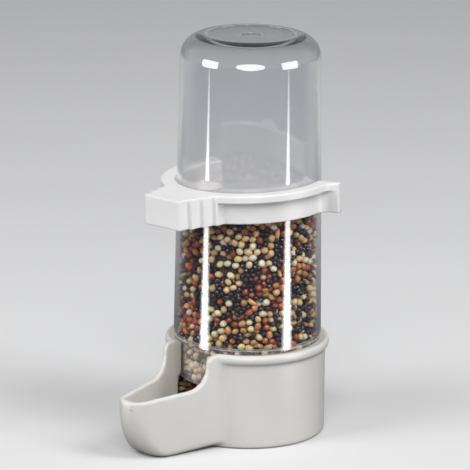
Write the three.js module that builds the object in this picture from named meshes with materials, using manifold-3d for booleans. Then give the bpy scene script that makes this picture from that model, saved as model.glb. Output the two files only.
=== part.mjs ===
// Gravity seed feeder for a bird cage: a clear silo stands neck down in a white base with a scoop trough,
// and a white C-shaped clip on the silo wedges between the cage bars. Millimetres, +Z up, trough towards -Y.
// The origin is the centre of the base's underside, on the silo's axis.

import * as THREE from 'three';
import { mergeVertices } from 'three/addons/utils/BufferGeometryUtils.js';
import Module from 'manifold-3d';

const wasm = await Module();
wasm.setup();

// Silo: a tapered clear tube with a rounded top, a shoulder and an open neck below it
const siloRadius = 26.0;          // outside, just above the shoulder
const siloTaper = 1.42;           // how much smaller the tube is where the rounded top begins
const siloBodyHeight = 108.2;     // shoulder to the highest point
const siloTopRound = 8.3;         // outside radius of the rounded top edge
const siloWall = 1.4;
const shoulderWidth = 1.9;        // step from the tube in to the neck
const neckLength = 13.6;          // shoulder to the mouth's edge
const topDishMargin = 0.8;        // flat ring between the rounded edge and the shallow dish in the top
const topDishDepth = 0.45;
const gateRadius = 3.7;           // moulding gate mark in the middle of the dish
const gateDepth = 0.4;

// Base: a cup with a rolled rim and a collar for the neck
const seatHeight = 33.3;          // ledge that carries the silo's shoulder
const rimAboveSeat = 0.7;
const rimWidth = 2.5;             // seat edge to the outside of the rolled rim
const beadHeight = 3.5;
const beadProud = 1.3;            // how far the rolled rim stands out from the cup's wall
const beadRound = 1.2;
const cupWall = 1.9;
const collarDepth = 11.8;         // length of the bore that holds the neck
const floorThickness = 2.0;
const footRound = 0.6;
const cupFloorRound = 1.5;

// Trough: a scoop with a rounded nose, walls that spread towards the cup, and a lip that sweeps up to the rim
const troughReach = 30.9;         // cup wall to the tip of the lip
const troughHalfWidth = 12.3;     // outside, at the cup's wall
const tipHalfWidth = 5.2;         // outside, where the walls would meet the tip without its rounded corners
const troughWall = 2.0;
const troughSlope = 3.7;          // degrees that the lip and the underside fall towards the tip
const tipRound = 5.5;             // plan radius of the tip's corners
const noseLength = 13.0;          // run of the rounded underside at the tip
const noseHeight = 20.5;
const bellyRound = 1.8;           // radius along the lower edges
const troughFloorRound = 1.5;     // radius along the edges of the floor
const lipHeight = 21.1;           // at the tip
const chuteProud = 2.6;           // upright edge of the chute in front of the cup's wall
const chuteSweep = 7.5;           // radius of the sweep from the lip up to the chute's edge
const chuteCorner = 3.0;          // radius at the top of the chute's edge
const chuteBelowRim = 0.1;
const sideFillet = 7.5;           // plan radius where the trough's wall runs into the cup

// Clip: a C-shaped ring with a flange, a stepped nose and a flared tab at each arm end
const clipAboveShoulder = 52.5;   // shoulder of the silo to the middle of the clip
const clipHeight = 10.5;
const clipDroop = 1.5;            // degrees that the clip hangs down towards its nose
const clipLean = 1.6;             // degrees that it leans to one side, as a clip pushed on by hand does
const bandThickness = 2.2;
const flangeProud = 2.8;
const flangeThickness = 2.7;
const armWrap = 23.0;             // degrees that each arm reaches past the silo's middle
const tabReach = 6.5;             // how far a tab stands out from the band
const tabThickness = 2.8;
const tabFillet = 3.4;
const noseHalfWidth = 12.95;      // at the root of the stepped nose
const noseRoot = 0.7;             // band to the end of the first step
const noseStepInset = 1.45;       // how much narrower each further step is, on each side
const noseStepDepth = 4.4;
const noseSteps = 4;

// Seed: the fill in the silo and the heap under the neck
const seedFill = 59.4;            // mouth to the level of the fill
const seedCrown = 1.2;            // how much higher the fill is in the middle
const seedTilt = 4.5;             // degrees that the fill's top leans, as loose seed settles
const seedTiltTurn = 45.0;        // degrees from the trough round to the fill's higher side
const seedPitch = 6.0;            // between the lumps that seed makes where it lies against the wall
const seedRelief = 1.7;           // depth of the hollows between those lumps
const heapSlope = 32.0;           // degrees
const heapShoulder = 3.0;         // from the axis forward to where the heap begins to fall

// Clearances
const seatGap = 0.3;              // silo's shoulder above its ledge
const seatPlay = 0.4;             // round the tube inside the rim
const neckPlay = 0.3;
const clipPlay = 0.5;             // enough for the clip to hang down a little
const seedPlay = 0.3;

// Fineness of the round surfaces
const roundSteps = 64;            // in a full turn
const arcSteps = 6;               // in a quarter turn
const edgeSteps = 4;              // in a small rounded edge

// Sizes that follow from the ones above
const shoulderZ = seatHeight + seatGap;
const siloTop = shoulderZ + siloBodyHeight;
const topRoundZ = siloTop - siloTopRound;
const siloTopRadius = siloRadius - siloTaper;
const neckRadius = siloRadius - shoulderWidth;
const mouthZ = shoulderZ - neckLength;
const rimHeight = seatHeight + rimAboveSeat;
const seatRadius = siloRadius + seatPlay;
const rimRadius = seatRadius + rimWidth;
const cupRadius = rimRadius - beadProud;
const collarRadius = neckRadius + neckPlay;
const cupInside = cupRadius - cupWall;
const tipDistance = cupRadius + troughReach;
const noseStart = tipDistance - noseLength;
const spread = Math.atan2(troughHalfWidth - tipHalfWidth, troughReach);
const troughFall = Math.tan(THREE.MathUtils.degToRad(troughSlope));
const topDishRadius = siloTopRadius - siloTopRound - topDishMargin;
const clipMiddle = shoulderZ + clipAboveShoulder;

// A radius on the tube's outside at a given height
function siloRadiusAt(z) {
  return siloRadius - siloTaper * (z - shoulderZ) / (topRoundZ - shoulderZ);
}

// Points along a circular arc, in a profile or plan
function arcPoints(cx, cy, radius, fromDegrees, toDegrees, steps = arcSteps) {
  const points = [];
  for (let i = 0; i <= steps; i++) {
    const angle = THREE.MathUtils.degToRad(fromDegrees + (toDegrees - fromDegrees) * i / steps);
    points.push(new THREE.Vector2(cx + radius * Math.cos(angle), cy + radius * Math.sin(angle)));
  }
  return points;
}

function p(x, y) {
  return new THREE.Vector2(x, y);
}

// A closed geometry as a solid for joins and cuts
function solid(geometry) {
  const bare = new THREE.BufferGeometry();
  bare.setAttribute('position', geometry.getAttribute('position'));
  bare.setIndex(geometry.getIndex());
  const merged = mergeVertices(bare, 1e-4);
  const index = merged.getIndex().array;
  const kept = [];
  for (let i = 0; i < index.length; i += 3) {
    const [a, b, c] = [index[i], index[i + 1], index[i + 2]];
    if (a !== b && b !== c && c !== a) kept.push(a, b, c);
  }
  return new wasm.Manifold(new wasm.Mesh({
    numProp: 3,
    vertProperties: new Float32Array(merged.getAttribute('position').array),
    triVerts: new Uint32Array(kept),
  }));
}

// The surface of a solid as a geometry with flat normals
function surface(body) {
  const mesh = body.getMesh();
  const geometry = new THREE.BufferGeometry();
  geometry.setAttribute('position', new THREE.BufferAttribute(new Float32Array(mesh.vertProperties), 3));
  geometry.setIndex(new THREE.BufferAttribute(new Uint32Array(mesh.triVerts), 1));
  geometry.computeVertexNormals();
  return geometry;
}

// A profile of (radius, height) points turned about the Z axis
function revolve(profile) {
  const geometry = new THREE.LatheGeometry(profile, roundSteps);
  geometry.rotateX(Math.PI / 2);
  return solid(geometry);
}

// A side view drawn as (distance in front of the axis, height), made as wide as asked across X
function extrudeAcross(points, width) {
  const geometry = new THREE.ExtrudeGeometry(new THREE.Shape(points), { depth: width, bevelEnabled: false });
  geometry.translate(0, 0, -width / 2);
  const forward = new THREE.Vector3(0, -1, 0);
  const up = new THREE.Vector3(0, 0, 1);
  const across = new THREE.Vector3(-1, 0, 0);
  geometry.applyMatrix4(new THREE.Matrix4().makeBasis(forward, up, across));
  return solid(geometry);
}

// Matching outlines, one above the other and counterclockwise from above, joined into one closed skin
function loft(outlines) {
  const count = outlines[0].length;
  const last = outlines.length - 1;
  const index = [];
  for (let level = 0; level < last; level++) {
    for (let i = 0; i < count; i++) {
      const a = level * count + i;
      const b = level * count + (i + 1) % count;
      index.push(a, b, b + count, a, b + count, a + count);
    }
  }
  for (const [a, b, c] of THREE.ShapeUtils.triangulateShape(outlines[0], [])) {
    index.push(c, b, a);
  }
  for (const [a, b, c] of THREE.ShapeUtils.triangulateShape(outlines[last], [])) {
    index.push(last * count + a, last * count + b, last * count + c);
  }
  const geometry = new THREE.BufferGeometry();
  geometry.setFromPoints(outlines.flat());
  geometry.setIndex(index);
  return solid(geometry);
}

// Silo: one closed wall, outside from the mouth up to the top and inside back down
function makeSilo() {
  const shoulderInside = shoulderZ + siloWall;
  const innerTop = siloTop - siloWall;
  const innerRound = siloTopRound - siloWall;
  const innerArc = THREE.MathUtils.radToDeg(Math.asin(1 - topDishDepth / innerRound));
  const bodyInside = siloRadius - siloWall;
  const neckInside = neckRadius - siloWall;
  const outside = [
    p(neckInside, mouthZ),
    p(neckRadius, mouthZ),
    p(neckRadius, shoulderZ),
    p(siloRadius, shoulderZ),
    ...arcPoints(siloTopRadius - siloTopRound, topRoundZ, siloTopRound, 0, 90),
    p(topDishRadius, siloTop),
    p(topDishRadius - topDishDepth, siloTop - topDishDepth),
    p(gateRadius, siloTop - topDishDepth),
    p(gateRadius - gateDepth, siloTop - topDishDepth - gateDepth),
    p(0, siloTop - topDishDepth - gateDepth),
  ];
  const inside = [
    p(0, innerTop - topDishDepth),
    ...arcPoints(siloTopRadius - siloTopRound, topRoundZ, innerRound, innerArc, 0),
    p(bodyInside, shoulderInside + shoulderWidth),
    p(neckInside, shoulderInside),
    p(neckInside, mouthZ),
  ];
  return revolve([...outside, ...inside]);
}

// Cup outside, filled: foot, wall, rolled rim and the slope in to the silo's seat
function cupOutside() {
  const beadZ = rimHeight - beadHeight;
  return revolve([
    p(0, 0),
    ...arcPoints(cupRadius - footRound, footRound, footRound, -90, 0, edgeSteps),
    p(cupRadius, beadZ),
    ...arcPoints(rimRadius - beadRound, beadZ + beadRound, beadRound, -60, 0, edgeSteps),
    ...arcPoints(rimRadius - beadRound, rimHeight - beadRound, beadRound, 0, 90, edgeSteps),
    p(seatRadius, seatHeight),
    p(0, seatHeight),
  ]);
}

// Room inside the cup: a collar that fits the neck, opening out to the cup's thinner wall below it
function cupRoom(play, top) {
  const wallRadius = cupInside - play;
  const floor = floorThickness + play;
  const collarZ = seatHeight - collarDepth - play;
  const flare = cupInside - collarRadius;
  const mouth = collarRadius - play;
  return revolve([
    p(0, floor),
    ...arcPoints(wallRadius - cupFloorRound, floor + cupFloorRound, cupFloorRound, -90, 0, edgeSteps),
    p(wallRadius, collarZ - flare),
    p(mouth, collarZ),
    p(mouth, top),
    p(0, top),
  ]);
}

// How far an edge rounded as a quarter ellipse lies back at a level above its foot, as a share of its run
function roundOff(level, height) {
  const below = Math.max(0, 1 - level / height);
  return 1 - Math.sqrt(1 - below * below);
}

// Levels that follow a quarter round of a given height up from its foot
function roundLevels(height, steps) {
  return arcPoints(0, height, height, -90, 0, steps).map((point) => point.y);
}

// Plan of the fillet between the trough's wall and the cup, from the cup out to the wall
function filletPlan(wallAt) {
  const wallPoint = p(cupRadius, wallAt(cupRadius));
  const inward = p(-Math.cos(spread), Math.sin(spread));
  const normal = p(Math.sin(spread), Math.cos(spread));
  const start = wallPoint.clone().addScaledVector(normal, sideFillet);
  const reach = cupRadius + sideFillet;
  const half = start.dot(inward);
  const run = -half - Math.sqrt(half * half - start.lengthSq() + reach * reach);
  const centre = start.clone().addScaledVector(inward, run);
  const onCup = centre.clone().multiplyScalar(cupRadius / reach);
  const onWall = centre.clone().addScaledVector(normal, -sideFillet);
  const degrees = (point) => THREE.MathUtils.radToDeg(Math.atan2(point.y - centre.y, point.x - centre.x));
  return arcPoints(centre.x, centre.y, sideFillet, degrees(onCup), degrees(onWall));
}

// Half of the trough's plan at a level, as (distance in front of the axis, half width) from inside the cup
// to the tip: its outside, or with an inset the room inside its walls
function troughPlan(level, inset) {
  const belly = inset > 0 ? troughFloorRound : bellyRound;
  const above = level - inset;
  const tip = noseStart + (noseLength - inset) * (1 - roundOff(above, noseHeight - inset));
  const narrowing = (inset + belly * roundOff(above, belly)) / Math.cos(spread);
  const wallAt = (distance) => troughHalfWidth - narrowing + (cupRadius - distance) * Math.tan(spread);
  const widest = wallAt(tip) / (1 / Math.cos(spread) - Math.tan(spread));
  const corner = Math.min(tipRound - inset, widest);
  const centre = p(tip - corner, wallAt(tip - corner) - corner / Math.cos(spread));
  const wallSide = 90 - THREE.MathUtils.radToDeg(spread);
  const root = inset > 0 ? [p(cupRadius, wallAt(cupRadius))] : filletPlan(wallAt);
  return [p(cupInside / 2, root[0].y), ...root, ...arcPoints(centre.x, centre.y, corner, wallSide, 0)];
}

// The trough as a solid from inside the cup out to its tip, up to a given height
function troughBody(inset, top) {
  const belly = inset > 0 ? troughFloorRound : bellyRound;
  const nose = roundLevels(noseHeight - inset, arcSteps).filter((level) => level > belly);
  const levels = [...roundLevels(belly, edgeSteps), ...nose].map((level) => level + inset);
  const outlines = [...levels, top].map((level) => {
    const left = troughPlan(level, inset).map((point) => p(point.x, -point.y));
    const right = troughPlan(level, inset).reverse();
    const fallTo = (distance) => level + (noseStart - distance) * troughFall;
    return [...right, ...left].map(({ x, y }) => new THREE.Vector3(y, -x, fallTo(x)));
  });
  return loft(outlines);
}

// Side view of what lies under the trough's lip: along the scoop, then swept up to the rim
function underLip() {
  const chuteX = cupRadius + chuteProud;
  const chuteTop = rimHeight - chuteBelowRim;
  const lipAt = (distance) => lipHeight + (tipDistance - distance) * troughFall;
  const sweep = Math.min(chuteSweep, chuteTop - chuteCorner - lipAt(chuteX));
  const sweepZ = lipAt(chuteX + sweep) + sweep / Math.cos(THREE.MathUtils.degToRad(troughSlope));
  const beyond = tipDistance + troughWall;
  return [
    p(0, -floorThickness),
    p(beyond, -floorThickness),
    p(beyond, lipAt(beyond)),
    ...arcPoints(chuteX + sweep, sweepZ, sweep, 270 - troughSlope, 180),
    ...arcPoints(chuteX - chuteCorner, chuteTop - chuteCorner, chuteCorner, 0, 90, edgeSteps),
    p(0, chuteTop),
  ];
}

// Base: cup and trough joined, with the silo's seat left free, then hollowed as one room
function makeBase() {
  const clear = rimHeight + beadHeight;
  const seatRoom = revolve([p(0, seatHeight), p(seatRadius, seatHeight), p(seatRadius, clear), p(0, clear)]);
  const scoop = troughBody(0, clear).intersect(extrudeAcross(underLip(), 2 * rimRadius));
  const outside = cupOutside().add(scoop.subtract(seatRoom));
  return outside.subtract(cupRoom(0, clear)).subtract(troughBody(troughWall, clear));
}

// Plan of the clip seen from above, with a given outside radius: stepped nose, band, tabs and bore
function clipPlan(outside, bore) {
  const end = THREE.MathUtils.degToRad(armWrap);
  const radial = p(Math.cos(end), Math.sin(end));
  const back = p(Math.sin(end), -Math.cos(end));
  const at = (r, t) => radial.clone().multiplyScalar(r).addScaledVector(back, t);
  const tabTip = bore + bandThickness + tabReach;
  const depth = tabThickness + tabFillet;
  const centre = at(Math.sqrt((outside + tabFillet) ** 2 - depth ** 2), depth);
  const bandStart = THREE.MathUtils.radToDeg(Math.atan2(centre.y, centre.x));
  const fillet = arcPoints(centre.x, centre.y, tabFillet, armWrap + 90, bandStart + 180);
  const noseMeet = THREE.MathUtils.radToDeg(-Math.acos(noseHalfWidth / outside));
  const band = arcPoints(0, 0, outside, bandStart, noseMeet, roundSteps / 4).slice(1);
  const nose = [];
  for (let step = 0; step < noseSteps; step++) {
    const halfWidth = noseHalfWidth - step * noseStepInset;
    const front = -(bore + bandThickness + noseRoot + step * noseStepDepth);
    nose.push(p(halfWidth, front + (step > 0 ? noseStepDepth : 0)), p(halfWidth, front));
  }
  const right = [at(tabTip, 0), at(tabTip, tabThickness), ...fillet, ...band, ...nose.slice(1)];
  const left = right.map((point) => p(-point.x, point.y)).reverse();
  const inner = arcPoints(0, 0, bore, 180 - armWrap, 360 + armWrap, roundSteps / 2);
  return new THREE.Shape([...right, ...left, ...inner]);
}

// Clip, about its own middle: the band at full height with a wider flange round its upper edge
function makeBracket() {
  const bore = siloRadiusAt(clipMiddle - clipHeight / 2) + clipPlay;
  const outside = bore + bandThickness;
  const ring = (radius, depth) => {
    return new THREE.ExtrudeGeometry(clipPlan(radius, bore), { depth, bevelEnabled: false });
  };
  const band = ring(outside, clipHeight);
  const flange = ring(outside + flangeProud, flangeThickness);
  band.translate(0, 0, -clipHeight / 2);
  flange.translate(0, 0, clipHeight / 2 - flangeThickness);
  return solid(band).add(solid(flange));
}

// Points from one profile point to another, about one row of lumps apart, without the first
function seedRows(from, to) {
  const rows = Math.max(1, Math.round(from.distanceTo(to) / (seedPitch * Math.sqrt(3) / 2)));
  const points = [];
  for (let row = 1; row <= rows; row++) {
    points.push(from.clone().lerp(to, row / rows));
  }
  return points;
}

// Seed in the silo: it fills the neck and the tube, crowned in the middle and lumpy all over.
// Every second point of the turned surface sinks towards the axis, so the lumps stand in staggered rows,
// and above the neck the points lean with the fill's top.
function makeSeedColumn() {
  const neckInside = neckRadius - siloWall - seedPlay;
  const tubeInside = siloWall + seedPlay;
  const bendZ = shoulderZ + siloWall;
  const fillZ = mouthZ + seedFill;
  const fillRadius = siloRadiusAt(fillZ) - tubeInside;
  const mouthEdge = p(neckInside, mouthZ);
  const neckTop = p(neckInside, bendZ);
  const bend = p(siloRadius - tubeInside, bendZ + shoulderWidth + seedPlay);
  const crown = [];
  for (let i = 1; i <= arcSteps; i++) {
    const turn = Math.PI / 2 * i / arcSteps;
    crown.push(p(fillRadius * Math.cos(turn), fillZ + seedCrown * Math.sin(turn)));
  }
  const wall = [...seedRows(mouthEdge, neckTop), bend, ...seedRows(bend, p(fillRadius, fillZ))];
  const profile = [p(0, mouthZ), mouthEdge, ...wall, ...crown];
  const columns = 2 * Math.round(Math.PI * (fillRadius + neckInside) / seedPitch);
  const geometry = new THREE.LatheGeometry(profile, columns);
  const position = geometry.getAttribute('position');
  const point = new THREE.Vector3();
  const highSide = THREE.MathUtils.degToRad(seedTiltTurn);
  const lean = Math.tan(THREE.MathUtils.degToRad(seedTilt));
  for (let column = 0; column <= columns; column++) {
    for (let row = 1; row < profile.length - 1; row++) {
      const index = column * profile.length + row;
      point.fromBufferAttribute(position, index);
      if ((row + column) % 2 === 1) {
        const onAxis = THREE.MathUtils.clamp(point.y, mouthZ + neckInside, fillZ - fillRadius);
        const inward = new THREE.Vector3(0, onAxis, 0).sub(point).setLength(seedRelief);
        point.add(inward);
      }
      const share = THREE.MathUtils.clamp((point.y - bend.y) / (fillZ - bend.y), 0, 1);
      point.y += share * lean * (point.x * Math.sin(highSide) + point.z * Math.cos(highSide));
      position.setXYZ(index, point.x, point.y, point.z);
    }
  }
  geometry.rotateX(Math.PI / 2);
  return solid(geometry);
}

// Seed on the floor of the base: level under the neck, then falling away into the trough
function makeSeedHeap() {
  const top = mouthZ - seedPlay;
  const foot = heapShoulder + top / Math.tan(THREE.MathUtils.degToRad(heapSlope));
  const side = [p(-cupRadius, 0), p(foot, 0), p(heapShoulder, top), p(-cupRadius, top)];
  const room = cupRoom(seedPlay, top).add(troughBody(troughWall + seedPlay, top));
  return room.intersect(extrudeAcross(side, 2 * cupRadius));
}

const whitePlastic = new THREE.MeshStandardMaterial({ color: 0xe4e2dc, roughness: 0.42, metalness: 0 });
const clearPlastic = new THREE.MeshStandardMaterial({
  color: 0x9aa3b2,
  roughness: 0.08,
  metalness: 0,
  transparent: true,
  opacity: 0.3,
});
const mixedSeed = new THREE.MeshStandardMaterial({ color: 0x7a5a3a, roughness: 0.6, metalness: 0 });

const feeder = new THREE.Group();

function place(name, body, material) {
  const mesh = new THREE.Mesh(surface(body), material);
  mesh.name = name;
  feeder.add(mesh);
  return mesh;
}

place('base', makeBase(), whitePlastic);
place('silo', makeSilo(), clearPlastic);
place('seed_column', makeSeedColumn(), mixedSeed);
place('seed_heap', makeSeedHeap(), mixedSeed);

const bracket = place('bracket', makeBracket(), whitePlastic);
bracket.position.z = clipMiddle;
bracket.rotation.set(THREE.MathUtils.degToRad(clipDroop), -THREE.MathUtils.degToRad(clipLean), 0);

export default feeder;
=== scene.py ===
# Looks of a gravity seed feeder for a bird cage: a white base with a scoop trough, a clear silo of mixed seed
# and a white clip with a stepped nose. Metres, +Z up, trough towards -Y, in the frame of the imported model.
import math

import bmesh
import bpy
import numpy as np
from mathutils import Euler, Matrix, Vector, kdtree


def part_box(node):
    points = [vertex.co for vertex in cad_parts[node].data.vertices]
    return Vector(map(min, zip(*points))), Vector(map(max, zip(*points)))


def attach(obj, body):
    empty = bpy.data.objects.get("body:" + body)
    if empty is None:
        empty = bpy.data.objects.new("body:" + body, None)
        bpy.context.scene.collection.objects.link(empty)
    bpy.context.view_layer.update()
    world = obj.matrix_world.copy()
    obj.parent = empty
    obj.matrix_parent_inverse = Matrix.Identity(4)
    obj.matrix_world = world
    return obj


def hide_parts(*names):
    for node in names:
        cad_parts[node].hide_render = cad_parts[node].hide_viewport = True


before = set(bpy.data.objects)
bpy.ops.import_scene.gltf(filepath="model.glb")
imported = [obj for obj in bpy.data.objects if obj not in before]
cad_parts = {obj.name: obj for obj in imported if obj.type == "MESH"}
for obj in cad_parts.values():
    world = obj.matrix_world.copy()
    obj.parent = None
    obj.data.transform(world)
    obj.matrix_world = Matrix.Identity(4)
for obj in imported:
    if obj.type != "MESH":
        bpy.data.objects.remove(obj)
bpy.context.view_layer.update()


# Base: a cup with a rolled rim and a scoop trough grown out of its front wall, all one piece.
# White polypropylene, injection moulded; the cup's wall is open between the trough's walls, so seed runs out.
# The silo only stands in it: neck in the collar, shoulder on the ledge inside the rim.
MM = 0.001
base_low, base_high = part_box("base")
rim_radius = base_high.x
rim_top = base_high.z
tip_distance = -base_low.y
bead_proud = 1.3 * MM
bead_height = 3.5 * MM
bead_round = 1.2 * MM
rim_width = 2.5 * MM
rim_above_seat = 0.7 * MM
foot_round = 0.6 * MM
cup_wall = 1.9 * MM
cup_floor = 2.0 * MM
cup_floor_round = 1.5 * MM
collar_radius = 24.4 * MM
collar_depth = 11.8 * MM
trough_half_width = 12.3 * MM
tip_half_width = 5.2 * MM
trough_wall = 2.0 * MM
trough_slope = 3.7
tip_round = 5.5 * MM
nose_length = 13.0 * MM
nose_height = 20.5 * MM
belly_round = 1.8 * MM
trough_floor_round = 1.5 * MM
lip_height = 21.1 * MM
chute_proud = 2.6 * MM
chute_sweep = 7.5 * MM
chute_corner = 3.0 * MM
chute_below_rim = 0.1 * MM
side_fillet = 7.5 * MM
base_voxel = 0.48 * MM
base_softening = 7
mould_mark = (2.5 * MM, -57.9 * MM, 18.6 * MM)
mould_mark_size = (1.2 * MM, 2.5 * MM, 0.45 * MM)
mould_mark_colour = (0.4, 0.4, 0.39, 1.0)

cup_radius = rim_radius - bead_proud
cup_inside = cup_radius - cup_wall
seat_radius = rim_radius - rim_width
seat_z = rim_top - rim_above_seat
nose_start = tip_distance - nose_length
spread = math.atan2(trough_half_width - tip_half_width, tip_distance - cup_radius)
trough_fall = math.tan(math.radians(trough_slope))


def arc(across, up, radius, start, end, steps=10):
    """Points along a circular arc from one angle to another, in degrees."""
    turns = np.radians(np.linspace(start, end, steps + 1))
    return [(across + radius * math.cos(turn), up + radius * math.sin(turn)) for turn in turns]


def piece(name, bm):
    """A new smooth-shaded object that holds a finished mesh."""
    mesh = bpy.data.meshes.new(name)
    bm.to_mesh(mesh)
    bm.free()
    mesh.shade_smooth()
    made = bpy.data.objects.new(name, mesh)
    bpy.context.collection.objects.link(made)
    return made


def closed(bm):
    """Merges a mesh's seams and poles and turns its faces outwards."""
    bmesh.ops.remove_doubles(bm, verts=bm.verts, dist=0.001 * MM)
    bmesh.ops.recalc_face_normals(bm, faces=bm.faces)
    return bm


def turned(profile, steps=256):
    """A profile of (radius, height) points turned about the feeder's axis."""
    bm = bmesh.new()
    verts = [bm.verts.new((radius, 0.0, height)) for radius, height in profile]
    edges = [bm.edges.new(pair) for pair in zip(verts, verts[1:])]
    bmesh.ops.spin(
        bm, geom=verts + edges, axis=(0, 0, 1), cent=(0, 0, 0), angle=math.tau, steps=steps, use_merge=True
    )
    return closed(bm)


def prism(outline, run):
    """A flat outline of corners swept straight along a run into a solid."""
    bm = bmesh.new()
    face = bm.faces.new([bm.verts.new(corner) for corner in outline])
    grown = bmesh.ops.extrude_face_region(bm, geom=[face], use_keep_orig=True)
    moved = [item for item in grown["geom"] if isinstance(item, bmesh.types.BMVert)]
    bmesh.ops.translate(bm, verts=moved, vec=run)
    return closed(bm)


def fix_shape(body):
    """Makes what an object's modifiers show its own mesh."""
    plain = body.data
    body.data = bpy.data.meshes.new_from_object(body.evaluated_get(bpy.context.evaluated_depsgraph_get()))
    body.modifiers.clear()
    bpy.data.meshes.remove(plain)


def combine(body, operation, tool):
    """Joins a solid with another, cuts it by it or keeps what they share."""
    other = piece("tool", tool)
    modifier = body.modifiers.new("combine", "BOOLEAN")
    modifier.operation = operation
    modifier.object = other
    modifier.solver = "EXACT"
    fix_shape(body)
    bpy.data.objects.remove(other)


def soften(body, voxel, rounds):
    """Rounds every edge of a moulded solid a little, as a worn mould does."""
    remesh = body.modifiers.new("remesh", "REMESH")
    remesh.mode = "VOXEL"
    remesh.voxel_size = voxel
    remesh.use_smooth_shade = True
    smooth = body.modifiers.new("smooth", "SMOOTH")
    smooth.factor = 0.5
    smooth.iterations = rounds
    fix_shape(body)
    body.data.shade_smooth()


def round_off(level, height):
    """How far an edge rounded as a quarter ellipse lies back at a level, as a share of its run."""
    below = max(0.0, 1.0 - level / height)
    return 1.0 - math.sqrt(1.0 - below * below)


def side_fillet_plan(wall_at):
    """Plan of the fillet from the cup out to the trough's wall."""
    inward = Vector((-math.cos(spread), math.sin(spread)))
    normal = Vector((math.sin(spread), math.cos(spread)))
    start = Vector((cup_radius, wall_at(cup_radius))) + normal * side_fillet
    reach = cup_radius + side_fillet
    half = start.dot(inward)
    centre = start + inward * (-half - math.sqrt(half**2 - start.length_squared + reach**2))
    on_cup = -centre.normalized()
    on_wall = -normal
    angles = [math.degrees(math.atan2(way.y, way.x)) for way in (on_cup, on_wall)]
    return arc(centre.x, centre.y, side_fillet, angles[0], angles[1], 16)


def trough_plan(level, inset):
    """Half of the trough's plan at a level, from inside the cup to the tip: (distance ahead, half width)."""
    belly = trough_floor_round if inset else belly_round
    above = level - inset
    tip = nose_start + (nose_length - inset) * (1.0 - round_off(above, nose_height - inset))
    narrowing = (inset + belly * round_off(above, belly)) / math.cos(spread)

    def wall_at(distance):
        return trough_half_width - narrowing + (cup_radius - distance) * math.tan(spread)

    widest = wall_at(tip) / (1.0 / math.cos(spread) - math.tan(spread))
    corner = min(tip_round - inset, widest)
    centre_width = wall_at(tip - corner) - corner / math.cos(spread)
    root = [(cup_radius, wall_at(cup_radius))] if inset else side_fillet_plan(wall_at)
    corner_arc = arc(tip - corner, centre_width, corner, 90.0 - math.degrees(spread), 0.0, 16)
    return [(cup_inside / 2, root[0][1])] + root + corner_arc


def trough_solid(inset, top):
    """The trough from inside the cup to its tip, up to a given height; with an inset, the room inside it."""
    belly = trough_floor_round if inset else belly_round
    nose = [up for _, up in arc(0, nose_height - inset, nose_height - inset, -90, 0, 40) if up > belly]
    levels = [up for _, up in arc(0, belly, belly, -90, 0, 8)] + nose + [top - inset]
    bm = bmesh.new()
    rings = []
    for level in levels:
        half = trough_plan(level + inset, inset)
        outline = [(width, ahead) for ahead, width in reversed(half)]
        outline += [(-width, ahead) for ahead, width in half]
        verts = []
        for across, ahead in outline:
            verts.append(bm.verts.new((across, -ahead, level + inset + (nose_start - ahead) * trough_fall)))
        rings.append([bm.edges.new(pair) for pair in zip(verts, verts[1:] + verts[:1])])
    for lower, upper in zip(rings, rings[1:]):
        bmesh.ops.bridge_loops(bm, edges=lower + upper)
    bmesh.ops.edgeloop_fill(bm, edges=rings[0])
    bmesh.ops.edgeloop_fill(bm, edges=rings[-1])
    return closed(bm)


def under_lip():
    """What lies under the trough's lip in the side view: along the scoop, then swept up to the rim."""
    chute_x = cup_radius + chute_proud
    chute_top = rim_top - chute_below_rim
    beyond = tip_distance + trough_wall

    def lip_at(ahead):
        return lip_height + (tip_distance - ahead) * trough_fall

    sweep = min(chute_sweep, chute_top - chute_corner - lip_at(chute_x))
    sweep_z = lip_at(chute_x + sweep) + sweep / math.cos(math.radians(trough_slope))
    side = [(0.0, -cup_floor), (beyond, -cup_floor), (beyond, lip_at(beyond))]
    side += arc(chute_x + sweep, sweep_z, sweep, 270.0 - trough_slope, 180.0, 24)
    side += arc(chute_x - chute_corner, chute_top - chute_corner, chute_corner, 0.0, 90.0)
    side.append((0.0, chute_top))
    outline = [(-rim_radius, -ahead, up) for ahead, up in side]
    return prism(outline, (2 * rim_radius, 0, 0))


bead_z = rim_top - bead_height
collar_z = seat_z - collar_depth
above_rim = rim_top + bead_height
cup_outside = [(0.0, 0.0)]
cup_outside += arc(cup_radius - foot_round, foot_round, foot_round, -90, 0)
cup_outside += [(cup_radius, bead_z)]
cup_outside += arc(rim_radius - bead_round, bead_z + bead_round, bead_round, -60, 0)
cup_outside += arc(rim_radius - bead_round, rim_top - bead_round, bead_round, 0, 90)
cup_outside += [(seat_radius, seat_z), (0.0, seat_z)]
cup_room = [(0.0, cup_floor)]
cup_room += arc(cup_inside - cup_floor_round, cup_floor + cup_floor_round, cup_floor_round, -90, 0)
cup_room += [(cup_inside, collar_z - cup_inside + collar_radius), (collar_radius, collar_z)]
cup_room += [(collar_radius, above_rim), (0.0, above_rim)]

scoop = piece("scoop", trough_solid(0.0, above_rim))
combine(scoop, "INTERSECT", under_lip())
seat_room = [(0.0, seat_z), (seat_radius, seat_z), (seat_radius, above_rim), (0.0, above_rim)]
combine(scoop, "DIFFERENCE", turned(seat_room))
scoop_mesh = bmesh.new()
scoop_mesh.from_mesh(scoop.data)
bpy.data.objects.remove(scoop)
base = piece("feeder_base", turned(cup_outside))
combine(base, "UNION", scoop_mesh)
combine(base, "DIFFERENCE", turned(cup_room))
combine(base, "DIFFERENCE", trough_solid(trough_wall, above_rim))
soften(base, base_voxel, base_softening)


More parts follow.
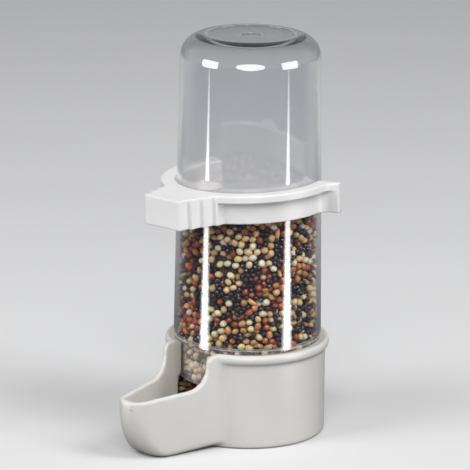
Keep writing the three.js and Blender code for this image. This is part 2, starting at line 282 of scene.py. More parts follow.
class Wire:
    """A shader socket. Arithmetic on it adds Math nodes, and node() adds any other node to the same tree."""

    def __init__(self, socket):
        self.socket = socket

    def node(self, kind, settings=None, inputs=None, output=0):
        tree = self.socket.id_data
        made = tree.nodes.new(kind)
        for name, value in (settings or {}).items():
            if name == "stops":
                for stop, (place, colour) in zip(made.color_ramp.elements, value):
                    stop.position = place
                    stop.color = (*colour, 1.0)
            else:
                setattr(made, name, value)
        for name, value in (inputs or {}).items():
            if isinstance(value, Wire):
                tree.links.new(value.socket, made.inputs[name])
            else:
                made.inputs[name].default_value = value
        return Wire(made.outputs[output]) if made.outputs else None

    def math(self, operation, first, second):
        return self.node("ShaderNodeMath", {"operation": operation}, {0: first, 1: second})

    def __add__(self, other):
        return self.math("ADD", self, other)

    __radd__ = __add__

    def __sub__(self, other):
        return self.math("SUBTRACT", self, other)

    def __rsub__(self, other):
        return self.math("SUBTRACT", other, self)

    def __mul__(self, other):
        return self.math("MULTIPLY", self, other)

    __rmul__ = __mul__


def new_material(name):
    """An empty node material, with the Object coordinates that its patterns start from."""
    material = bpy.data.materials.new(name)
    material.use_nodes = True
    material.node_tree.nodes.clear()
    coords = material.node_tree.nodes.new("ShaderNodeTexCoord")
    return material, Wire(coords.outputs["Object"])


def moulded_white(name, dull, bright, mark=None):
    """Satin white polypropylene: faint cloudiness in the colour, fine mould grain and the trace of a mark."""
    material, coords = new_material(name)
    cloud = coords.node("ShaderNodeTexNoise", None, {"Vector": coords, "Scale": 55.0, "Detail": 3.0})
    grain = coords.node("ShaderNodeTexNoise", None, {"Vector": coords, "Scale": 1700.0, "Detail": 2.0})
    colour = coords.node(
        "ShaderNodeValToRGB",
        {"stops": [(0.3, dull), (0.7, bright)]},
        {"Fac": cloud},
    )
    if mark:
        offset = coords.node("ShaderNodeVectorMath", {"operation": "SUBTRACT"}, {0: coords, 1: mark})
        scaled = coords.node("ShaderNodeVectorMath", {"operation": "DIVIDE"}, {0: offset, 1: mould_mark_size})
        away = coords.node("ShaderNodeVectorMath", {"operation": "LENGTH"}, {0: scaled}, "Value")
        trace = coords.math("MAXIMUM", 1.0 - away, 0.0)
        colour = coords.node(
            "ShaderNodeMix", {"data_type": "RGBA"}, {0: trace, 6: colour, 7: mould_mark_colour}, 2
        )
    bump = coords.node("ShaderNodeBump", None, {"Strength": 0.05, "Distance": 0.2 * MM, "Height": grain})
    shader = coords.node(
        "ShaderNodeBsdfPrincipled",
        None,
        {"Base Color": colour, "Roughness": 0.36 + 0.12 * cloud, "IOR": 1.49, "Normal": bump},
    )
    coords.node("ShaderNodeOutputMaterial", None, {"Surface": shader})
    return material


# Painted shade: the base's white is set darker than the clip's, though both are the same plastic.
base_white_painted_darker = moulded_white("warm_white_plastic_painted_darker", (0.69, 0.675, 0.645), (0.73, 0.716, 0.69), mould_mark)
base.data.materials.append(base_white_painted_darker)
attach(base, "base")
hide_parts("base")


# Silo: a tapered tube with a rounded top, a shoulder and an open neck below it.
# Clear polystyrene with a faint smoky blue, injection moulded in one piece; a shallow dish in its top holds
# the mark of the gate. It plugs into the base's collar and lifts out to be filled.
silo_low, silo_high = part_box("silo")
silo_radius = silo_high.x
silo_top = silo_high.z
mouth_z = silo_low.z
neck_length = 13.6 * MM
shoulder_width = 1.9 * MM
silo_taper = 1.42 * MM
silo_top_round = 8.3 * MM
silo_wall = 1.4 * MM
edge_round = 0.35 * MM
ledge_round = 0.5 * MM
dish_margin = 0.8 * MM
dish_depth = 0.45 * MM
gate_radius = 3.7 * MM
gate_depth = 0.4 * MM
smoke_tint = (0.945, 0.955, 0.976, 1.0)
# Pale colour on the clear wall: painted highlights along the dish's edge, the gate mark's edge and the inner
# ledge, and real scuffing on the neck.
pale_highlight_and_scuff_colour = (0.78, 0.79, 0.8, 1.0)
dish_edge_painted_highlight = 0.3
ledge_painted_highlight = 0.45
neck_scuff = 0.08

shoulder_z = mouth_z + neck_length
ledge_z = shoulder_z + silo_wall
top_round_z = silo_top - silo_top_round
crown_radius = silo_radius - silo_taper - silo_top_round
neck_radius = silo_radius - shoulder_width
neck_inside = neck_radius - silo_wall
dish_radius = crown_radius - dish_margin
dish_z = silo_top - dish_depth
inner_round = silo_top_round - silo_wall
inner_top = math.degrees(math.asin(1.0 - dish_depth / inner_round))


def held(profile, margin=0.15 * MM):
    """A profile with a point close to both ends of each straight run, which keeps smooth shading true."""
    points = []
    for start, end in zip(profile, profile[1:]):
        points.append(start)
        run = math.dist(start, end)
        if run > 4 * margin:
            for share in (margin / run, 1.0 - margin / run):
                points.append(tuple(a + (b - a) * share for a, b in zip(start, end)))
    return points + profile[-1:]


silo_outline = [(neck_inside, mouth_z + edge_round)]
silo_outline += arc(neck_inside + edge_round, mouth_z + edge_round, edge_round, 180, 270, 4)
silo_outline += arc(neck_radius - edge_round, mouth_z + edge_round, edge_round, -90, 0, 4)
silo_outline += arc(neck_radius + edge_round, shoulder_z - edge_round, edge_round, 180, 90, 4)
silo_outline += arc(silo_radius - edge_round, shoulder_z + edge_round, edge_round, -90, 0, 4)
silo_outline += arc(crown_radius, top_round_z, silo_top_round, 0, 90, 32)
silo_outline += arc(dish_radius, silo_top - dish_depth / 2, dish_depth / 2, 90, 180, 4)
silo_outline += arc(dish_radius - dish_depth, silo_top - dish_depth / 2, dish_depth / 2, 0, -90, 4)
silo_outline += arc(gate_radius, dish_z - gate_depth / 2, gate_depth / 2, 90, 180, 4)
silo_outline += arc(gate_radius - gate_depth, dish_z - gate_depth / 2, gate_depth / 2, 0, -90, 4)
silo_outline += [(0.0, dish_z - gate_depth), (0.0, dish_z - silo_wall)]
silo_outline += arc(crown_radius, top_round_z, inner_round, inner_top, 0, 24)
silo_outline += arc(silo_radius - silo_wall - ledge_round, ledge_z + ledge_round, ledge_round, 0, -90, 6)
silo_outline += arc(neck_inside + ledge_round, ledge_z - ledge_round, ledge_round, 90, 180, 6)
silo_outline += [(neck_inside, mouth_z + edge_round)]
silo = piece("feeder_silo", turned(held(silo_outline)))


def clear_smoke():
    """Clear plastic, faint smoky blue; the neck scuffed pale, and painted highlights along its moulded edges.
    """
    material, coords = new_material("clear_plastic")
    height = coords.node("ShaderNodeSeparateXYZ", None, {0: coords}, "Z")
    level = coords.node("ShaderNodeVectorMath", {"operation": "MULTIPLY"}, {0: coords, 1: (1.0, 1.0, 0.0)})
    radius = coords.node("ShaderNodeVectorMath", {"operation": "LENGTH"}, {0: level}, "Value")
    cloud = coords.node("ShaderNodeTexNoise", None, {"Vector": coords, "Scale": 35.0, "Detail": 2.0})
    scratches = coords.node("ShaderNodeTexNoise", None, {"Vector": coords, "Scale": 700.0, "Detail": 3.0})
    inner_side = coords.node("ShaderNodeNewGeometry", None, None, "Backfacing")

    def edge(value, place, reach):
        """How close a value is to an edge's place: 1 on the edge, 0 past its reach."""
        return coords.math("MAXIMUM", 1.0 - coords.math("ABSOLUTE", value - place, 0.0) * (1.0 / reach), 0.0)

    on_top = coords.math("GREATER_THAN", height, silo_top - 2 * dish_depth)
    on_neck = coords.math("LESS_THAN", height, shoulder_z)
    # Painted highlights: the dish's edge, the gate mark's edge and the inner ledge are painted pale where
    # they would catch the light; the neck is scuffed pale.
    dish_and_gate_highlight = on_top * (edge(radius, dish_radius, 0.6 * MM) + edge(radius, gate_radius, 0.5 * MM))
    highlight_and_scuff = dish_edge_painted_highlight * dish_and_gate_highlight + ledge_painted_highlight * edge(height, ledge_z, 0.5 * MM) + neck_scuff * on_neck
    clear = coords.node(
        "ShaderNodeBsdfPrincipled",
        None,
        {
            "Base Color": smoke_tint,
            "Roughness": 0.04 + 0.03 * cloud,
            "IOR": 1.3,
            "Transmission Weight": 1.0,
            "Coat Weight": 1.0 - inner_side,
            "Coat Roughness": 0.05,
            "Coat IOR": 1.9,
        },
    )
    pale = coords.node(
        "ShaderNodeBsdfPrincipled",
        None,
        {"Base Color": pale_highlight_and_scuff_colour, "Roughness": 0.5 + 0.2 * scratches},
    )
    highlight_and_wear = coords.node("ShaderNodeMixShader", None, {0: highlight_and_scuff * (0.5 + scratches), 1: clear, 2: pale})
    to_lamp = coords.node("ShaderNodeLightPath", None, None, "Is Shadow Ray")
    scattered = coords.node("ShaderNodeLightPath", None, None, "Is Diffuse Ray")
    through = coords.node("ShaderNodeBsdfTransparent", None, {"Color": (1.0, 1.0, 1.0, 1.0)})
    surface = coords.node("ShaderNodeMixShader", None, {0: to_lamp + scattered, 1: highlight_and_wear, 2: through})
    coords.node("ShaderNodeOutputMaterial", None, {"Surface": surface})
    return material


silo.data.materials.append(clear_smoke())
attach(silo, "silo")
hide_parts("silo")


# Seed: loose mixed bird seed, small black seeds among cream and red millet and canary seed, poured in.
# The fill in the silo and the heap that has run out under its neck are shells of single seeds, each on its
# own side and turn, over a dark core whose painted shade closes the gaps between them.
seed_draw = np.random.default_rng(41)
seed_shell = 4.2 * MM
seed_clear = 0.1 * MM
seed_packing = 0.6
seed_tries = 200000
column_low, column_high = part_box("seed_column")
heap_low, heap_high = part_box("seed_heap")
fill_level = 59.4 * MM
fill_crown = 1.2 * MM
fill_tilt = 4.5
fill_turn = 45.0
fill_lean = math.tan(math.radians(fill_tilt))
heap_shoulder = 3.0 * MM
heap_slope = 32.0
heap_outlet = 0.8 * cup_inside
seed_kinds = {
    "black": {"half": (0.95, 0.88, 0.84), "sides": (6, 4), "share": {"column": 0.31, "heap": 0.12}},
    "cream": {"half": (1.5, 1.28, 1.16), "sides": (8, 6), "share": {"column": 0.37, "heap": 0.46}},
    "red": {"half": (1.45, 1.22, 1.1), "sides": (8, 6), "share": {"column": 0.27, "heap": 0.37}},
    "canary": {"half": (2.2, 0.95, 0.85), "sides": (6, 6), "share": {"column": 0.05, "heap": 0.05}},
}
seed_colours = {
    "black": [(0.04, 0.033, 0.046), (0.055, 0.046, 0.062), (0.076, 0.055, 0.058)],
    "cream": [
        (0.95, 0.8, 0.51),
        (0.9, 0.67, 0.36),
        (0.96, 0.86, 0.61),
        (0.86, 0.68, 0.32),
        (0.8, 0.52, 0.25),
    ],
    "red": [(0.52, 0.13, 0.05), (0.6, 0.24, 0.09), (0.6, 0.33, 0.14), (0.38, 0.085, 0.055)],
    "canary": [(0.6, 0.45, 0.24), (0.7, 0.36, 0.16)],
}
tint_spread = (0.8, 1.12)
size_spread = (0.88, 1.08)
end_shade = 0.18
patch_length = 11.0 * MM
patchiness = 0.65


def silo_inside(height):
    """Inside radius of the silo at a height."""
    heights = [mouth_z, ledge_z, ledge_z + ledge_round, top_round_z]
    body = silo_radius - silo_wall
    return np.interp(height, heights, [neck_inside, neck_inside, body, body - silo_taper])


def fill_top(across, ahead):
    """Height of the fill's top, which leans a little and is crowned in the middle."""
    turn = math.radians(fill_turn)
    lean = fill_lean * (across * math.sin(turn) + ahead * math.cos(turn))
    crown = np.clip(1.0 - (across**2 + ahead**2) / column_high.x**2, 0.0, 1.0)
    return mouth_z + fill_level + lean + fill_crown * np.sqrt(crown)


def column_depth(points):
    """How deep points lie in the fill: inside its wall, below its top and above its mouth."""
    radius = np.hypot(points[:, 0], points[:, 1])
    top = fill_top(points[:, 0], -points[:, 1])
    wall = silo_inside(points[:, 2]) - seed_clear
    return np.stack([wall - radius, top - points[:, 2], points[:, 2] - mouth_z], axis=1)


def heap_depth(points):
    """How deep points lie in the heap: below its level top, its slope, the cup's wall and above the floor."""
    radius = np.hypot(points[:, 0], points[:, 1])
    ahead = -points[:, 1] - heap_shoulder
    slope = math.radians(heap_slope)
    fall = (heap_high.z - points[:, 2]) * math.cos(slope) - ahead * math.sin(slope)
    wall = np.where(
        -points[:, 1] > heap_outlet,
        trough_half_width - trough_wall - np.abs(points[:, 0]),
        cup_inside - seed_clear - radius,
    )
    return np.stack([wall, heap_high.z - points[:, 2], fall, points[:, 2] - cup_floor], axis=1)


def inward_push(depth_of, points, short):
    """Moves points inwards along each side on which they lie too shallow by a given length."""
    step = 0.01 * MM
    for side in range(short.shape[1]):
        lack = np.maximum(short[:, side], 0.0)
        slope = np.zeros_like(points)
        for axis in range(3):
            shifted = points.copy()
            shifted[:, axis] += step
            slope[:, axis] = (depth_of(shifted)[:, side] - depth_of(points)[:, side]) / step
        points += slope * lack[:, None]
    return points


def settle(depth_of, points, radii, rounds=48):
    """Pushes crowded seeds apart until they lie side by side inside their container."""
    reach = 2.2 * radii.max()
    rounds_per_search = 8
    push_share = 0.25
    for turn in range(rounds):
        if turn % rounds_per_search == 0:
            tree = kdtree.KDTree(len(points))
            for index, point in enumerate(points):
                tree.insert(point, index)
            tree.balance()
            pairs = []
            for index, point in enumerate(points):
                pairs += [(index, other) for _, other, _ in tree.find_range(point, reach) if other > index]
            first, second = np.array(pairs).T
        between = points[second] - points[first]
        distance = np.maximum(np.linalg.norm(between, axis=1), 1e-9)
        overlap = np.maximum(radii[first] + radii[second] - distance, 0.0)
        push = between * (push_share * overlap / distance)[:, None]
        np.add.at(points, first, -push)
        np.add.at(points, second, push)
        depth = depth_of(points)
        points = inward_push(depth_of, points, radii[:, None] - depth)
        deep = np.maximum(depth_of(points).min(axis=1) - seed_shell, 0.0)
        nearest = depth_of(points).argmin(axis=1)
        short = np.zeros_like(depth)
        short[np.arange(len(points)), nearest] = deep
        points = 2 * points - inward_push(depth_of, points.copy(), short)
    return points


def patches(points, count):
    """How much more or less of each kind lies about each point, so that like seeds gather in patches."""
    wave_count = 8
    fields = []
    for _ in range(count):
        waves = seed_draw.normal(size=(wave_count, 3)) * math.tau / patch_length / math.sqrt(3.0)
        phases = seed_draw.uniform(0.0, math.tau, wave_count)
        fields.append(np.cos(points @ waves.T + phases).sum(axis=1) / math.sqrt(wave_count / 2))
    return np.exp(patchiness * np.array(fields))


def seed_layer(where, depth_of, low, high):
    """Places seeds of every kind in the shell of a container: a list of kinds and their resting places."""
    box_size = np.array(high) - np.array(low)
    tries = np.array(low) + seed_draw.random((seed_tries, 3)) * box_size
    depth = depth_of(tries).min(axis=1)
    inside = tries[(depth > 0.0) & (depth < seed_shell)]
    shell_volume = np.prod(box_size) * len(inside) / len(tries)
    shares = np.array([kind["share"][where] for kind in seed_kinds.values()])[:, None]
    weights = shares * patches(inside, len(seed_kinds))
    weights /= weights.sum(axis=0)
    kinds = []
    chosen = []
    for (name, kind), weight in zip(seed_kinds.items(), weights):
        one = 4 / 3 * math.pi * np.prod(kind["half"]) * MM**3
        count = int(seed_packing * shell_volume * weight.mean() / one)
        free = weight.copy()
        free[chosen] = 0.0
        chosen += list(seed_draw.choice(len(inside), count, replace=False, p=free / free.sum()))
        kinds += [name] * count
    kinds = np.array(kinds)
    radii = np.array([np.mean(seed_kinds[name]["half"]) * MM for name in kinds])
    places = settle(depth_of, inside[chosen].copy(), radii)
    return kinds, places


def seed_material(name, roughness, shine):
    """A dry husk: its own colour from the seed's tint, mottled finely, with a natural shine."""
    material, coords = new_material(name)
    tint = coords.node("ShaderNodeAttribute", {"attribute_name": "tint"}, None, "Color")
    mottle = coords.node("ShaderNodeTexNoise", None, {"Vector": coords, "Scale": 2200.0, "Detail": 3.0})
    shade = coords.node(
        "ShaderNodeValToRGB", {"stops": [(0.3, (0.78, 0.76, 0.72)), (0.7, (1.0, 1.0, 1.0))]}, {"Fac": mottle}
    )
    colour = coords.node(
        "ShaderNodeMix", {"data_type": "RGBA", "blend_type": "MULTIPLY"}, {0: 1.0, 6: tint, 7: shade}, 2
    )
    bump = coords.node("ShaderNodeBump", None, {"Strength": 0.15, "Distance": 0.1 * MM, "Height": mottle})
    shader = coords.node(
        "ShaderNodeBsdfPrincipled",
        None,
        {
            "Base Color": colour,
            "Roughness": roughness + 0.15 * mottle,
            "Specular IOR Level": shine,
            "Normal": bump,
        },
    )
    coords.node("ShaderNodeOutputMaterial", None, {"Surface": shader})
    return material


seed_finish = {
    "black": seed_material("black_seed", 0.14, 0.5),
    "cream": seed_material("cream_millet", 0.28, 0.45),
    "red": seed_material("red_millet", 0.18, 0.5),
    "canary": seed_material("canary_seed", 0.4, 0.4),
}


def pour(name, kinds, places, kind):
    """One piece that holds every seed of a kind, each turned at random and tinted by itself."""
    about = seed_kinds[kind]
    husk = bmesh.new()
    sides, rings = about["sides"]
    bmesh.ops.create_uvsphere(husk, u_segments=sides, v_segments=rings, radius=1.0)
    seed = bpy.data.meshes.new("seed")
    husk.to_mesh(seed)
    poles = np.array([abs(vert.co.z) for vert in husk.verts])
    husk.free()
    heap = bmesh.new()
    chosen = places[kinds == kind]
    tints = np.array(seed_colours[kind])[seed_draw.integers(0, len(seed_colours[kind]), len(chosen))]
    tints = tints * seed_draw.uniform(*tint_spread, (len(chosen), 1))
    for place in chosen:
        turn = Euler(seed_draw.uniform(0, math.tau, 3)).to_matrix().to_4x4()
        size = np.array(about["half"]) * seed_draw.uniform(*size_spread) * MM
        one = seed.copy()
        one.transform(Matrix.Translation(place) @ turn @ Matrix.Diagonal((*size[::-1], 1.0)))
        heap.from_mesh(one)
        bpy.data.meshes.remove(one)
    bpy.data.meshes.remove(seed)
    made = piece(name, heap)
    shade = 1.0 - end_shade * np.tile(poles, len(chosen))
    colours = np.ones((len(shade), 4))
    colours[:, :3] = np.repeat(tints, len(poles), axis=0) * shade[:, None]
    layer = made.data.attributes.new("tint", "FLOAT_COLOR", "POINT")
    layer.data.foreach_set("color", colours.ravel())
    made.data.materials.append(seed_finish[kind])
    return made


def seed_gap_shade():
    """Painted shade between the seeds: a dark brown that stands for the deeper seed in shadow."""
    material, coords = new_material("seed_gap_shade")
    cloud = coords.node("ShaderNodeTexNoise", None, {"Vector": coords, "Scale": 600.0, "Detail": 4.0})
    colour = coords.node(
        "ShaderNodeValToRGB",
        {"stops": [(0.35, (0.012, 0.009, 0.008)), (0.7, (0.07, 0.045, 0.03))]},
        {"Fac": cloud},
    )
    shader = coords.node("ShaderNodeBsdfPrincipled", None, {"Base Color": colour, "Roughness": 0.9})
    coords.node("ShaderNodeOutputMaterial", None, {"Surface": shader})
    return material


core_inset = 3.0 * MM
core_steps = 96
core_neck = neck_inside - core_inset
core_body = silo_radius - silo_wall - core_inset
column_core = [(0.0, mouth_z + core_inset), (core_neck, mouth_z + core_inset), (core_neck, ledge_z)]
column_core += [(core_body, ledge_z + shoulder_width), (core_body - silo_taper / 2, silo_top)]
column_core += [(0.0, silo_top)]
heap_core = [(0.0, cup_floor + seed_clear), (cup_inside - core_inset, cup_floor + seed_clear)]
heap_core += [(cup_inside - core_inset, heap_high.z - core_inset), (0.0, heap_high.z - core_inset)]
heap_mesh = turned(heap_core, core_steps)
slope_normal = (0.0, -math.sin(math.radians(heap_slope)), math.cos(math.radians(heap_slope)))
bmesh.ops.bisect_plane(
    heap_mesh,
    geom=heap_mesh.verts[:] + heap_mesh.edges[:] + heap_mesh.faces[:],
    plane_co=(0.0, -heap_shoulder, heap_high.z - core_inset),
    plane_no=slope_normal,
    clear_outer=True,
)
bmesh.ops.holes_fill(heap_mesh, edges=heap_mesh.edges)
column_mesh = turned(column_core, core_steps)
fill_normal = Vector((-math.sin(math.radians(fill_turn)), math.cos(math.radians(fill_turn)), 1.0 / fill_lean))
bmesh.ops.bisect_plane(
    column_mesh,
    geom=column_mesh.verts[:] + column_mesh.edges[:] + column_mesh.faces[:],
    plane_co=(0.0, 0.0, mouth_z + fill_level - core_inset),
    plane_no=fill_normal.normalized(),
    clear_outer=True,
)
bmesh.ops.holes_fill(column_mesh, edges=column_mesh.edges)
gap_shade = seed_gap_shade()

seed_places = {
    "column": ("silo", "seed_column", column_mesh, column_depth, column_low, column_high),
    "heap": ("base", "seed_heap", heap_mesh, heap_depth, heap_low, heap_high),
}
for where, (body, node, core_mesh, depth_of, low, high) in seed_places.items():
    # Painted shade: the core is a dark body that shows between the seeds where the deeper fill lies in
    # shadow.
    core = piece(f"seed_{where}_core", core_mesh)
    core.data.materials.append(gap_shade)
    kinds, places = seed_layer(where, depth_of, low, high)
    for part in [core] + [pour(f"seed_{where}_{kind}", kinds, places, kind) for kind in seed_kinds]:
        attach(part, body)
        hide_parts(node)


# Clip: a C-shaped ring with a flange round its upper edge, a stepped nose and a flared tab at each arm end.
# The same white polypropylene, moulded in one piece; its arms spring round the silo and hold it by friction,
# and the nose wedges between two upright bars of the cage.
clip_height = 10.5 * MM
clip_above_shoulder = 52.5 * MM
clip_play = 0.5 * MM
clip_droop = 1.5
clip_lean = -1.6
band_thickness = 2.2 * MM
flange_proud = 2.8 * MM
flange_thickness = 2.7 * MM
arm_wrap = 23.0
tab_reach = 6.5 * MM
tab_thickness = 2.8 * MM
tab_fillet = 3.4 * MM
nose_half_width = 12.95 * MM
nose_root = 0.7 * MM
nose_step_inset = 1.45 * MM
nose_step_depth = 4.4 * MM
nose_steps = 4
clip_voxel = 0.3 * MM
clip_softening = 3

clip_z = shoulder_z + clip_above_shoulder
taper_here = silo_taper * (clip_above_shoulder - clip_height / 2) / (top_round_z - shoulder_z)
bore = silo_radius - taper_here + clip_play
band_radius = bore + band_thickness
half_height = clip_height / 2
flange_low = half_height - flange_thickness
flange_radius = band_radius + flange_proud


def ring_arms():
    """The band and its flange: their section swept round the silo from one arm end to the other."""
    section = [(bore, -half_height), (band_radius, -half_height), (band_radius, flange_low)]
    section += [(flange_radius, flange_low), (flange_radius, half_height), (bore, half_height)]
    end = math.radians(arm_wrap)
    bm = bmesh.new()
    verts = [bm.verts.new((r * math.cos(end), r * math.sin(end), z)) for r, z in section]
    edges = [bm.edges.new(pair) for pair in zip(verts, verts[1:] + verts[:1])]
    sweep = -math.pi - 2 * end
    bmesh.ops.spin(bm, geom=verts + edges, axis=(0, 0, 1), cent=(0, 0, 0), angle=sweep, steps=160)
    bmesh.ops.holes_fill(bm, edges=bm.edges)
    return closed(bm)


def tab(side, outside, low, high):
    """A flared tab at one arm's end, with the fillet that runs back into the band."""
    end = math.radians(arm_wrap)
    radial = Vector((math.cos(end), math.sin(end)))
    back = Vector((math.sin(end), -math.cos(end)))
    depth = tab_thickness + tab_fillet
    centre = radial * math.sqrt((outside + tab_fillet) ** 2 - depth**2) + back * depth
    meet = math.degrees(math.atan2(centre.y, centre.x)) + 180.0
    tip = band_radius + tab_reach
    middle = bore + band_thickness / 2
    plan = [radial * middle, radial * tip, radial * tip + back * tab_thickness]
    plan += [Vector(point) for point in arc(centre.x, centre.y, tab_fillet, arm_wrap + 90.0, meet)]
    plan += [centre.normalized() * middle]
    return prism([(side * point.x, point.y, low) for point in plan], (0, 0, high - low))


def stepped_nose():
    """The nose in front of the band: a block of steps, each narrower than the last."""
    plan = []
    for step in range(nose_steps):
        half_width = nose_half_width - step * nose_step_inset
        front = -(band_radius + nose_root + step * nose_step_depth)
        start = front + nose_step_depth if step else -bore / 2
        plan += [(half_width, start), (half_width, front)]
    plan += [(-across, ahead) for across, ahead in reversed(plan)]
    return prism([(across, ahead, -half_height) for across, ahead in plan], (0, 0, clip_height))


clip = piece("feeder_clip", ring_arms())
combine(clip, "UNION", stepped_nose())
for side in (1, -1):
    combine(clip, "UNION", tab(side, band_radius, -half_height, half_height))
    combine(clip, "UNION", tab(side, flange_radius, flange_low, half_height))
bore_cutter = [(0.0, -clip_height), (bore, -clip_height), (bore, clip_height), (0.0, clip_height)]
combine(clip, "DIFFERENCE", turned(bore_cutter))
soften(clip, clip_voxel, clip_softening)
tilt = Euler((math.radians(clip_droop), math.radians(clip_lean), 0.0)).to_matrix().to_4x4()
clip.data.transform(Matrix.Translation((0, 0, clip_z)) @ tilt)
clip.data.materials.append(moulded_white("white_plastic", (0.79, 0.787, 0.782), (0.83, 0.828, 0.825)))
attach(clip, "bracket")
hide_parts("bracket")


# Studio: a plain pale floor, a round soft light above the camera, a soft box at each side and an even sky.
# Bright cards put tapered strips and spots on the silo in mirrored light, and glints on the seed through its
# wall. The floor in front is dim in mirrored light, as under a dark card, so that the wall stays clear.
view_azimuth = 45.0
view_elevation = 14.74
view_distance = 1.180
view_target = Vector((0.0, 0.0, 0.070))
view_roll = 0.733
lens = 258.0
frame_shift = (-0.02864, -0.00087)
feeder_middle = Vector((0.0, 0.0, 0.07))

floor_radius = 6.0
floor_in_bounce = (0.3, 0.3, 0.3, 1.0)
floor_in_mirror = (0.05, 0.05, 0.06, 1.0)
floor_dim_from = -0.45
floor_dim_full = -0.05
floor_mesh = bmesh.new()
bmesh.ops.create_circle(floor_mesh, cap_ends=True, segments=96, radius=floor_radius)
floor = piece("floor", floor_mesh)
floor_material, floor_coords = new_material("pale_floor")
floor_cloud = floor_coords.node("ShaderNodeTexNoise", None, {"Vector": floor_coords, "Scale": 6.0})
floor_colour = floor_coords.node(
    "ShaderNodeValToRGB",
    {"stops": [(0.3, (0.73, 0.73, 0.735)), (0.7, (0.75, 0.75, 0.755))]},
    {"Fac": floor_cloud},
)
floor_bounce = floor_coords.node("ShaderNodeLightPath", None, None, "Is Diffuse Ray")
floor_mirrored = floor_coords.node("ShaderNodeLightPath", None, None, "Glossy Depth")
floor_x = floor_coords.node("ShaderNodeSeparateXYZ", None, {0: floor_coords}, "X")
floor_y = floor_coords.node("ShaderNodeSeparateXYZ", None, {0: floor_coords}, "Y")
floor_turn = math.radians(view_azimuth)
floor_ahead = floor_x * math.sin(floor_turn) - floor_y * math.cos(floor_turn)
floor_front = floor_coords.node(
    "ShaderNodeMapRange",
    None,
    {"Value": floor_ahead, "From Min": floor_dim_from, "From Max": floor_dim_full},
)
floor_tones = [(floor_bounce, floor_in_bounce), (floor_mirrored * floor_front, floor_in_mirror)]
for floor_share, floor_tone in floor_tones:
    floor_colour = floor_coords.node(
        "ShaderNodeMix", {"data_type": "RGBA"}, {0: floor_share, 6: floor_colour, 7: floor_tone}, 2
    )
floor_shader = floor_coords.node(
    "ShaderNodeBsdfPrincipled",
    None,
    {"Base Color": floor_colour, "Roughness": 0.9, "Specular IOR Level": 0.0},
)
floor_coords.node("ShaderNodeOutputMaterial", None, {"Surface": floor_shader})
floor.data.materials.append(floor_material)


def around(azimuth, elevation, distance, target):
    """A place seen from the target at an azimuth from -Y and an elevation, in degrees."""
    turn = math.radians(azimuth)
    rise = math.radians(elevation)
    flat = Vector((math.sin(turn), -math.cos(turn), 0.0)) * math.cos(rise)
    return target + (flat + Vector((0.0, 0.0, math.sin(rise)))) * distance


def facing(location, target):
    """A matrix that puts something at a location with its front, +Z, towards the target."""
    return Matrix.Translation(location) @ (target - location).to_track_quat("Z", "Y").to_matrix().to_4x4()


def soft_light(name, shape, place, size, radiance):
    """A lamp that faces the feeder from a place around it; its radiance is the brightness of its face."""
    lamp = bpy.data.lights.new(name, "AREA")
    lamp.shape = shape
    lamp.size, lamp.size_y = size
    fill = math.pi / 4 if shape == "ELLIPSE" else 1.0
    lamp.energy = radiance * math.pi * size[0] * size[1] * fill
    made = bpy.data.objects.new(name, lamp)
    location = around(*place, feeder_middle)
    made.matrix_world = facing(location, feeder_middle) @ Matrix.Rotation(math.pi, 4, "Y")
    made.visible_glossy = False
    made.visible_transmission = False
    bpy.context.collection.objects.link(made)


def gleam_card(name, outline, location, target, radiance, fade=0.0, behind_wall=False):
    """A bright flat card that faces a target and fades with its height; only mirrored light shows it.

    A card for what is behind the wall shows only to light that went in and out through the clear wall.
    """
    bm = bmesh.new()
    bm.faces.new([bm.verts.new((across, up, 0.0)) for across, up in outline])
    card = piece(name, bm)
    card.data.transform(facing(location, target))
    material, coords = new_material(name)
    glow = {"Color": (1.0, 1.0, 1.0, 1.0), "Strength": radiance}
    if fade:
        height = coords.node("ShaderNodeSeparateXYZ", None, {0: coords}, "Z")
        glow["Color"] = 1.0 - fade / radiance * height
    if behind_wall:
        faces_passed = coords.node("ShaderNodeLightPath", None, None, "Transmission Depth")
        glow["Color"] = coords.math("GREATER_THAN", faces_passed, glint_after_faces)
        material.cycles.emission_sampling = "NONE"
    shader = coords.node("ShaderNodeEmission", None, glow)
    coords.node("ShaderNodeOutputMaterial", None, {"Surface": shader})
    card.data.materials.append(material)
    card.visible_camera = False
    card.visible_diffuse = False
    card.visible_glossy = not behind_wall
    card.visible_transmission = behind_wall
    card.visible_shadow = False


soft_light("front_light", "ELLIPSE", (view_azimuth, 38.0, 1.4), (0.8, 0.8), 4.7)
soft_light("left_light", "RECTANGLE", (view_azimuth - 62.0, 36.0, 1.2), (0.5, 0.8), 5.0)
soft_light("right_light", "RECTANGLE", (view_azimuth + 62.0, 42.0, 1.2), (0.5, 0.8), 6.2)

strip_height = 0.125
strip_foot = 0.004
strip_layers = {
    "faint": (0.041, 0.122, 1.8, 11.0),
    "soft": (0.033, 0.121, 4.5, 29.0),
    "bright": (0.023, 0.12, 11.5, 76.0),
}
on_axis = Vector((0.0, 0.0, 0.0))
for strip_side, strip_turn in (("left", -63.3), ("right", 58.0)):
    for layer, (strip_width, strip_distance, radiance, fade) in strip_layers.items():
        strip_outline = [(-strip_width / 2, strip_foot), (strip_width / 2, strip_foot), (0.0, strip_height)]
        foot = around(view_azimuth + strip_turn, 0.0, strip_distance, on_axis)
        gleam_card(f"{strip_side}_{layer}_strip", strip_outline, foot, on_axis, radiance, fade)

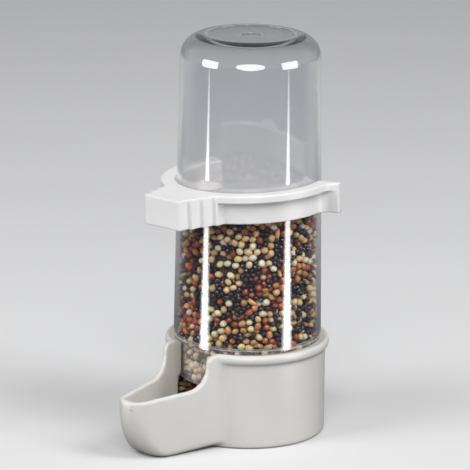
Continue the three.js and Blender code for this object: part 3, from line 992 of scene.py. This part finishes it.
silo_crown = Vector((0.0, 0.0, silo_top))
panel_distance = 0.6
panel_radiance = 5.5
side_panel_rise = 11.0
side_panel = [(-0.16, -0.22), (0.16, -0.22), (0.16, 0.07), (-0.16, 0.07)]
for panel_side, panel_turn in (("left", -68.0), ("right", 66.0)):
    spot = around(view_azimuth + panel_turn, side_panel_rise, panel_distance, silo_crown)
    gleam_card(f"{panel_side}_panel", side_panel, spot, silo_crown, panel_radiance)
front_panel_rise = 6.0
front_panel_stretch = 1.6
front_panel = [(front_panel_stretch * across, up) for across, up in arc(0.0, 0.0, 0.16, 0.0, 352.5, 47)]
spot = around(view_azimuth, front_panel_rise, panel_distance, silo_crown)
gleam_card("front_panel", front_panel, spot, silo_crown, panel_radiance)

glint_after_faces = 3.0
glint_rise = 50.0
glint_distance = 0.5
glint_radiance = 40.0
glint_outline = [(-0.14, -0.1), (0.14, -0.1), (0.14, 0.1), (-0.14, 0.1)]
for glint_side, glint_turn in (("left", -40.0), ("middle", 0.0), ("right", 40.0)):
    spot = around(view_azimuth + glint_turn, glint_rise, glint_distance, feeder_middle)
    gleam_card(f"{glint_side}_glint", glint_outline, spot, feeder_middle, glint_radiance, behind_wall=True)

sky_colour = (0.97, 0.98, 1.0, 1.0)
sky_strength = 0.3
world = bpy.data.worlds.new("studio")
world.use_nodes = True
world.node_tree.nodes["Background"].inputs["Color"].default_value = sky_colour
world.node_tree.nodes["Background"].inputs["Strength"].default_value = sky_strength
bpy.context.scene.world = world
bpy.context.scene.view_settings.view_transform = "Standard"

camera_data = bpy.data.cameras.new("camera")
camera_data.lens = lens
camera_data.shift_x, camera_data.shift_y = frame_shift
camera = bpy.data.objects.new("camera", camera_data)
camera.location = around(view_azimuth, view_elevation, view_distance, view_target)
look = (view_target - camera.location).to_track_quat("-Z", "Y").to_matrix()
camera.rotation_euler = (look @ Matrix.Rotation(math.radians(view_roll), 3, "Z")).to_euler()
bpy.context.collection.objects.link(camera)
bpy.context.scene.camera = camera
